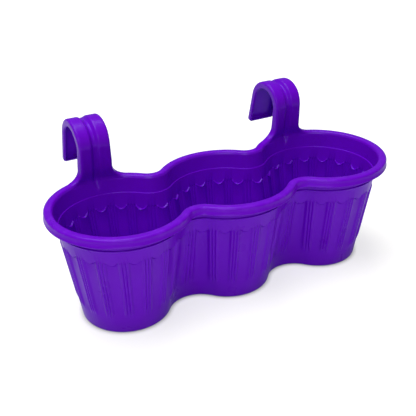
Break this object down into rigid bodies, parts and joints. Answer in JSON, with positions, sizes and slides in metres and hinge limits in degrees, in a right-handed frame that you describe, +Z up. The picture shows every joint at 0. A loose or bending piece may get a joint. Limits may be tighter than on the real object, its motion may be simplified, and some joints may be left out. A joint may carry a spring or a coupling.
{
  "type": "balcony rail planter",
  "caption": "Long planter trough of joined round bowls with fluted walls, channel-shaped hooks that hang it over a railing, and loose drainage grids and plugs inside.",
  "frame": {"origin": "middle of the part's footprint, on the ground under the foot ring", "axes": "+Z up, +X along the row of bowls to the right, the hooks on the +Y side"},
  "size_m": [0.5992, 0.301, 0.2812],
  "materials": {
    "trough_plastic": "satin moulded violet plastic",
    "grid_plastic": "moulded violet plastic",
    "plug_plastic": "soft dark stopper"
  },
  "bodies": {
    "planter": {"planter_body": "trough_plastic"},
    "grid_left": {"drain_grid_left": "grid_plastic"},
    "grid_middle": {"drain_grid_middle": "grid_plastic"},
    "grid_right": {"drain_grid_right": "grid_plastic"},
    "plug_left": {"drain_plug_left": "plug_plastic"},
    "plug_middle": {"drain_plug_middle": "plug_plastic"},
    "plug_right": {"drain_plug_right": "plug_plastic"}
  },
  "joints": [
    {"name": "grid_lift_left", "type": "slide", "parent": "planter", "child": "grid_left", "axis": [0, 0, 1], "range_m": [0, 0.185]},
    {"name": "grid_lift_middle", "type": "slide", "parent": "planter", "child": "grid_middle", "axis": [0, 0, 1], "range_m": [0, 0.185]},
    {"name": "grid_lift_right", "type": "slide", "parent": "planter", "child": "grid_right", "axis": [0, 0, 1], "range_m": [0, 0.185]},
    {"name": "plug_lift_left", "type": "slide", "parent": "planter", "child": "plug_left", "axis": [0, 0, 1], "range_m": [0, 0.19]},
    {"name": "plug_lift_middle", "type": "slide", "parent": "planter", "child": "plug_middle", "axis": [0, 0, 1], "range_m": [0, 0.19]},
    {"name": "plug_lift_right", "type": "slide", "parent": "planter", "child": "plug_right", "axis": [0, 0, 1], "range_m": [0, 0.19]}
  ]
}
